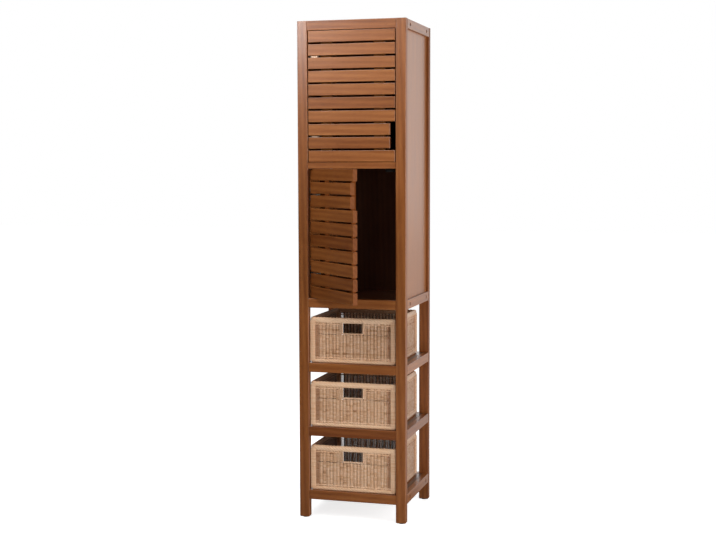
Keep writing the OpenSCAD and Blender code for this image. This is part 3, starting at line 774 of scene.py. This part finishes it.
def basket_frame(settings, plan):
    """The rim, the foot, the wound corner posts, and the border and side posts of the handle opening."""
    def border(high, wide, z, strands, pitch, inset=0.0):
        """A rolled border round the basket, with nearly square corners."""
        bend = 2.5 * MM
        x, y = plan.half_x - inset - wide / 2, plan.half_y - inset - wide / 2
        line = squared(rope(x, y, bend, high, wide, strands, pitch), x - bend, y - bend)
        return moved(line, (0, 0, z + high / 2))

    thin = {"high": 5 * MM, "wide": 8 * MM, "strands": 2, "pitch": 21.4 * MM, "inset": 2.5 * MM}
    parts = [
        border(settings.rim_h, settings.rim_w, plan.rim_z, 5, 60 * MM),
        border(settings.foot_h, settings.foot_w, 0, 4, 48 * MM, inset=1 * MM),
        border(z=settings.foot_h + 1.5 * MM, **thin),
        parted(border(z=plan.rim_z - 6.5 * MM, **thin), settings.grip_w / 2 + 1 * MM),
    ]
    low, high = 0.4 * settings.foot_h, plan.top - 0.5 * settings.rim_h
    for x in (-plan.post_x, plan.post_x):
        for y in (-plan.post_y, plan.post_y):
            parts += coil(settings, settings.post, x, y, low, high)
    rim = settings.grip_rim
    half_w, half_h = (settings.grip_w + rim) / 2, (settings.grip_h + rim) / 2
    loop = rope(half_w, half_h, 3 * MM, 1.4 * rim, rim, 3, 14 * MM, steps=8, sides=5)
    middle = plan.top - settings.grip_top - settings.grip_h / 2
    parts.append(moved(loop, (0, -plan.wall_y - 1.5 * MM, middle), turn=(QUARTER, 0, 0)))
    beside = settings.grip_w / 2 + rim + 2.8 * MM
    for x in (-beside, beside):
        parts += coil(settings, rim, x, -plan.wall_y, plan.grip_low, plan.rim_z + 3 * MM)
    return joined("basket_frame", parts)


def basket_base(plan):
    """The woven base: coarser strands across thick ribs."""
    low, high = -plan.half_y + 9 * MM, plan.half_y - 9 * MM
    ribs, row, radius = 16, 4.4 * MM, 2.0 * MM
    pitch = 2 * (plan.half_x - 6 * MM) / ribs
    strand = waved(ring(6, radius, turn=(0, QUARTER, 0)), ribs // 2, pitch, radius, 2)
    strand = moved(strand, (-ribs / 2 * pitch, low, 0))
    parts = rows(strand, int((high - low) / row), (0, row, 0), (1, 1, -1))
    rib = moved(stake(3.4 * MM, 0, low, high), turn=(-QUARTER, 0, 0))
    parts.append(moved(row_of(rib, ribs, (pitch, 0, 0)), ((1 - ribs) / 2 * pitch, 0, 0)))
    return moved(joined("basket_base", parts), (0, 0, 5.2 * MM))


# --- Operators -----------------------------------------------------------------------------------------


def named(start, end=""):
    """The CAD nodes whose names start and end so."""
    return [name for name in NODES if name.startswith(start) and name.endswith(end)]


class TOWER_OT_wood(bpy.types.Operator):
    """Stain the frame, the panels, the boards and the doors"""

    bl_idname = "tower.wood"
    bl_label = "Stain the Wood"

    def execute(self, context):
        settings = context.scene.tower_wood
        # Each door has ten slats, 6 mm apart, and the lower door's grain turns with the door.
        slats, gap = 10, 6 * MM
        low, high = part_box("upper_door_slats")
        lower_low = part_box("lower_door_slats")[0]
        turn = -math.radians(min(JOINTS["lower_door_hinge"]["range_deg"]))
        slat = {"board": (high.z - low.z + gap) / slats, "spread": 0.22}
        post = {"board": 100 * MM, "shift": 30 * MM, "spread": 0.05}
        batten = {"board": 100 * MM, "spread": 0.0}
        for name, along, nodes, options in (
            ("post_stain", "Z", named("post_front"),
             {**post, "gloss": 0.85, "matt": -0.06, "dull_sides": 0.32}),
            ("rear_post_stain", "Z", named("post_rear"), {**post, "tone": -0.14, "dull_sides": 0.3}),
            ("rail_stain", "X", ["middle_shelf"] + named(("front_", "back_"), "_rail"),
             {"board": BAY, "shift": 50 * MM, "tone": -0.05}),
            ("side_rail_stain", "Y", named(("left_", "right_"), "_rail"),
             {"board": BAY, "shift": 20 * MM, "tone": 0.03}),
            ("panel_stain", "Z", named("side_panel"), {"board": 500 * MM, "tone": 0.14}),
            ("shelf_stain", "Y", named("", "_board"),
             {"board": 90 * MM, "tone": -0.06, "spread": 0.15, "gloss": 0.25, "matt": 0.12}),
            # The cabinet's inside and its back panel are given painted shade.
            ("inner_stain", "Y", ["end_cleats", "cabinet_floor"], {"inner": True}),
            ("back_stain", "Z", ["back_panel"], {"board": 110 * MM, "inner": True}),
            # The upper slats get painted shade on their edges in the gaps, with some pooled stain.
            ("upper_slat_stain", "X", named("upper_", "_slats"),
             {**slat, "shift": gap / 2 - low.z, "tone": 0.04, "edges": 0.8}),
            ("lower_slat_stain", "X", named("lower_", "_slats"),
             {**slat, "shift": gap / 2 - lower_low.z, "turn": turn, "tone": -0.06, "gloss": 0.28}),
            # Painted light and shade: the upper battens seen in the slat gaps are painted much lighter,
            # and the lower ones much darker and duller so that no highlight shows.
            ("upper_batten_stain", "Z", named("upper_batten"), {**batten, "tone": 0.48, "gloss": 0.15}),
            ("lower_batten_stain", "Z", named("lower_batten"),
             {**batten, "tone": -0.45, "gloss": 0.02, "matt": 0.3}),
        ):
            paint(nodes, wood(name, along, settings, **options))
        return {"FINISHED"}


class TOWER_OT_metal(bpy.types.Operator):
    """Plate the hinges, bolts, screws and catches, and give the glides their felt"""

    bl_idname = "tower.metal"
    bl_label = "Plate the Fittings"

    def execute(self, context):
        settings = context.scene.tower_metal
        rough = settings.roughness
        low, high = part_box("upper_hinge_cups")
        shade_beyond = ((low.x + high.x) / 2, 9 * MM)
        for nodes, material in (
            (["frame_bolts", "hinge_plates", "lower_hinge_cups", "upper_strike_plate",
              "lower_strike_plate"], metal("satin_nickel", settings.nickel, rough, "Z")),
            # The upper cups get a warm painted reflection, and painted shade beyond 9 mm of their middle.
            (["upper_hinge_cups"],
             metal("cup_nickel", settings.cup_reflection, rough, "Z", shade_beyond=shade_beyond)),
            # Painted shade: the hinge arms are a darker copy of the nickel, so that they show less bright
            # in the gap.
            (["hinge_arms"], metal("worn_nickel", shaded(settings.nickel, 0.55), rough + 0.12, "Z")),
            (["insert_nuts", "hinge_pins", "hinge_screws", "shelf_pins", "upper_door_screws",
              "lower_door_screws"], metal("zinc_plate", settings.steel, rough + 0.1)),
            (["magnet_catches"], metal("catch_housing", settings.housing, 0.75, metallic=0.0)),
            (["foot_glides"], felt("pressed_felt", settings.felt)),
        ):
            paint(nodes, material)
        return {"FINISHED"}


class TOWER_OT_baskets(bpy.types.Operator):
    """Weave one basket and put a copy of it in each bay"""

    bl_idname = "tower.baskets"
    bl_label = "Weave the Baskets"

    def execute(self, context):
        settings = context.scene.tower_weave
        plan = BasketPlan(settings)
        woven = cane("woven_cane", settings, plan, tone=0.09, woven=True)
        wound = cane("wound_cane", settings, plan, tone=0.14)
        models = {
            "weave": (basket_walls(settings, plan), woven),
            "frame": (basket_frame(settings, plan), wound),
            "base": (basket_base(plan), wound),
        }
        for part, (model, material) in models.items():
            model.data.materials.clear()
            model.data.materials.append(material)
            for body in BASKETS:
                piece = copied(model, (plan.middle.x, plan.middle.y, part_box(body)[0].z))
                piece.name = piece.data.name = f"{body}_{part}"
                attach(piece, body)
                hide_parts(body)
            bpy.data.objects.remove(model)
        return {"FINISHED"}


# Each lamp's place, the point that it faces, and its size.
LAMPS = {
    "high": ((-0.4, -1.15, 2.6), (0, 0, 1.75), 0.9),
    "gloss": ((-0.95, -1.8, 2.1), (0, 0, 1.7), 0.5),
    "key": ((1.78, -2.03, 1.4), (0, 0, 0.9), 1.2),
    "low": ((0.5, -1.0, 0.2), (0, 0, 0.12), 0.5),
    "back": ((-0.7, 2.4, 2.2), (0, 0, 0.9), 1.5),
    "side": ((2.58, -0.85, 1.1), (0, 0, 0.9), 1.6),
}


class TOWER_OT_stage(bpy.types.Operator):
    """Set up the floor, the lamps, the surroundings and the camera"""

    bl_idname = "tower.stage"
    bl_label = "Set the Stage"

    def execute(self, context):
        settings = context.scene.tower_stage
        context.scene.view_settings.view_transform = "Standard"
        self.floor()
        self.surroundings(context.scene, settings)
        for name, (place, target, size) in LAMPS.items():
            self.lamp(f"{name}_lamp", getattr(settings, name), place, target, size)
        self.camera(context.scene, settings)
        return {"FINISHED"}

    @staticmethod
    def floor():
        """White all over to the camera, but for the object's shadow, and dim to gloss in front."""
        bpy.ops.object.select_all(action="DESELECT")
        bpy.ops.mesh.primitive_plane_add(size=40)
        floor = bpy.context.active_object
        floor.name = "studio_floor"
        graph = Graph(bpy.data.materials.new("studio_white"))
        where = graph.place()
        x, y, _ = graph.split(where)
        behind = graph.ramp(y - 0.5 * x.absolute(), -0.1, 0.35)
        away = graph.ramp(graph.vector("LENGTH", where, output="Value"), 0.4, 1.2)
        camera, glossy, through = graph.rays()
        bright = (camera + through + 0.7 * glossy * behind) * (0.78 + 0.22 * away)
        pale, dark = [graph.add("ShaderNodeBsdfDiffuse", {}, {"Color": shade}) for shade in (GREY, BLACK)]
        matte = graph.add("ShaderNodeMixShader", {}, {0: glossy, 1: pale, 2: dark})
        glow = graph.add("ShaderNodeEmission", {}, {"Color": WHITE, "Strength": bright})
        graph.output(graph.add("ShaderNodeAddShader", {}, {0: matte, 1: glow}))
        floor.data.materials.append(graph.owner)

    @staticmethod
    def surroundings(scene, settings):
        """White for the camera, and for gloss that mirrors what is behind the object."""
        scene.world = bpy.data.worlds.new("studio")
        graph = Graph(scene.world)
        backwards = graph.split(graph.add("ShaderNodeTexCoord", output="Generated"))[1]
        behind = graph.ramp(backwards, 0.6, 0.95)
        camera, glossy, through = graph.rays()
        seen = camera + through
        lit = glossy * (0.02 + settings.mirrored * behind) + (1 - glossy) * settings.ambient
        level = seen + (1 - seen) * lit
        light = graph.add("ShaderNodeBackground", {}, {"Color": WHITE, "Strength": level})
        graph.output(light, "ShaderNodeOutputWorld")

    @staticmethod
    def lamp(name, power, place, target, size):
        """A square soft lamp that faces a point."""
        bpy.ops.object.light_add(type="AREA", location=place)
        lamp = bpy.context.active_object
        lamp.name = name
        lamp.data.energy, lamp.data.size = power, size
        lamp.rotation_euler = (Vector(place) - Vector(target)).to_track_quat("Z", "Y").to_euler()

    @staticmethod
    def camera(scene, settings):
        """The camera, slightly above the middle of the tower and to the right of it."""
        bpy.ops.object.camera_add(location=(1.2941, -4.6203, 1.2899))
        camera = bpy.context.active_object
        camera.rotation_euler = [math.radians(angle) for angle in (85.3422, 0.1468, 15.9923)]
        camera.data.lens, camera.data.sensor_width = settings.lens, 36
        scene.camera = camera


class TOWER_PT_finishes(bpy.types.Panel):
    """The tower's pieces and their settings"""

    bl_idname = "TOWER_PT_finishes"
    bl_label = "Storage Tower"
    bl_space_type = "VIEW_3D"
    bl_region_type = "UI"
    bl_category = "Tower"

    def draw(self, context):
        for operator, group in STEPS:
            column = self.layout.column(align=True)
            settings = getattr(context.scene, group)
            for name in settings.bl_rna.properties.keys():
                if name not in ("rna_type", "name"):
                    column.prop(settings, name)
            column.operator(operator)


STEPS = (
    ("tower.stage", "tower_stage"),
    ("tower.wood", "tower_wood"),
    ("tower.metal", "tower_metal"),
    ("tower.baskets", "tower_weave"),
)
GROUPS = {
    "tower_stage": TowerStage,
    "tower_wood": TowerWood,
    "tower_metal": TowerMetal,
    "tower_weave": TowerWeave,
}
CLASSES = (
    *GROUPS.values(), TOWER_OT_stage, TOWER_OT_wood, TOWER_OT_metal, TOWER_OT_baskets, TOWER_PT_finishes,
)


def register():
    for cls in CLASSES:
        bpy.utils.register_class(cls)
    for name, group in GROUPS.items():
        setattr(bpy.types.Scene, name, PointerProperty(type=group))


def unregister():
    for name in GROUPS:
        delattr(bpy.types.Scene, name)
    for cls in reversed(CLASSES):
        bpy.utils.unregister_class(cls)


def main():
    register()
    bpy.ops.tower.stage()
    bpy.ops.tower.wood()
    bpy.ops.tower.metal()
    bpy.ops.tower.baskets()


if __name__ == "__main__":
    main()
